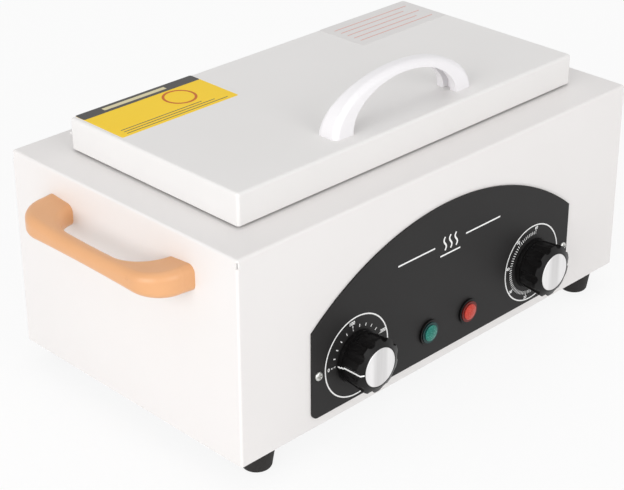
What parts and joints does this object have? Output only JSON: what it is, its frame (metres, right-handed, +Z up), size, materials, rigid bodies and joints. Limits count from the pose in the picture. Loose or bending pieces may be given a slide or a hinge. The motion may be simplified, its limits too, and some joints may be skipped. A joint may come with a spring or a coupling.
{
  "type": "dry heat sterilizer",
  "caption": "Bench-top dry heat sterilizer with a hinged lid over a heated steel chamber, side handles, and a front panel with thermostat, timer and signal lamps.",
  "frame": {"origin": "centre of the bounding box in plan, on the surface that the feet stand on", "axes": "+X to the right along the control panel, +Y from the panel to the rear wall, +Z up"},
  "size_m": [0.398, 0.232, 0.1969],
  "materials": {
    "casing_paint": "satin",
    "base_steel": "satin",
    "zinc_screw": "satin",
    "black_screw": "satin",
    "foot_rubber": "matte",
    "panel_paint": "matte",
    "control_case": "matte",
    "copper_tube": "satin",
    "spindle_steel": "satin",
    "knob_plastic": "satin",
    "cap_aluminium": "brushed",
    "lamp_black": "satin",
    "green_lens": "gloss",
    "red_lens": "gloss",
    "handle_tan": "satin",
    "handle_white": "gloss",
    "stainless": "satin",
    "element_sheath": "matte",
    "mineral_wool": "matte",
    "galvanised": "matte",
    "porcelain": "gloss",
    "gland_plastic": "matte",
    "seal_rubber": "matte",
    "hinge_steel": "satin"
  },
  "bodies": {
    "base": {"outer_casing": "casing_paint", "base_plate": "base_steel", "base_screws": "zinc_screw", "foot_front_left": "foot_rubber", "foot_front_right": "foot_rubber", "foot_rear_left": "foot_rubber", "foot_rear_right": "foot_rubber", "foot_screws": "zinc_screw", "foot_nuts": "zinc_screw", "control_panel": "panel_paint", "panel_screws": "black_screw", "thermostat_body": "control_case", "thermostat_probe": "copper_tube", "thermostat_nut": "zinc_screw", "timer_body": "control_case", "timer_nut": "zinc_screw", "green_lamp_holder": "lamp_black", "green_lamp_lens": "green_lens", "red_lamp_holder": "lamp_black", "red_lamp_lens": "red_lens", "lamp_nuts": "lamp_black", "left_handle": "handle_tan", "right_handle": "handle_tan", "handle_screws": "zinc_screw", "chamber_liner": "stainless", "instrument_tray": "stainless", "heating_element": "element_sheath", "element_clamps": "stainless", "chamber_insulation": "mineral_wool", "heat_shield": "galvanised", "thermal_cutout": "control_case", "terminal_block": "porcelain", "terminal_screws": "zinc_screw", "cable_gland": "gland_plastic", "gland_nut": "gland_plastic", "hinge_base_screws": "zinc_screw", "left_hinge_base_leaf": "hinge_steel", "left_hinge_pin": "spindle_steel", "right_hinge_base_leaf": "hinge_steel", "right_hinge_pin": "spindle_steel"},
    "lid": {"lid_shell": "casing_paint", "lid_inner_pan": "stainless", "lid_insulation": "mineral_wool", "lid_seal": "seal_rubber", "lid_handle": "handle_white", "lid_handle_screws": "zinc_screw", "left_hinge_lid_leaf": "hinge_steel", "right_hinge_lid_leaf": "hinge_steel", "hinge_lid_screws": "zinc_screw"},
    "thermostat_dial": {"thermostat_knob": "knob_plastic", "thermostat_knob_cap": "cap_aluminium", "thermostat_spindle": "spindle_steel"},
    "timer_dial": {"timer_knob": "knob_plastic", "timer_knob_cap": "cap_aluminium", "timer_spindle": "spindle_steel"}
  },
  "joints": [
    {"name": "lid_hinge", "type": "hinge", "parent": "base", "child": "lid", "pos_m": [0, 0.07925, 0.1489], "axis": [-1, 0, 0], "range_deg": [0, 100]},
    {"name": "thermostat_turn", "type": "hinge", "parent": "base", "child": "thermostat_dial", "pos_m": [-0.08, -0.1066, 0.0501], "axis": [0, 1, 0], "range_deg": [0, 280]},
    {"name": "timer_turn", "type": "hinge", "parent": "base", "child": "timer_dial", "pos_m": [0.08, -0.1066, 0.0501], "axis": [0, 1, 0], "range_deg": [0, 266]}
  ]
}
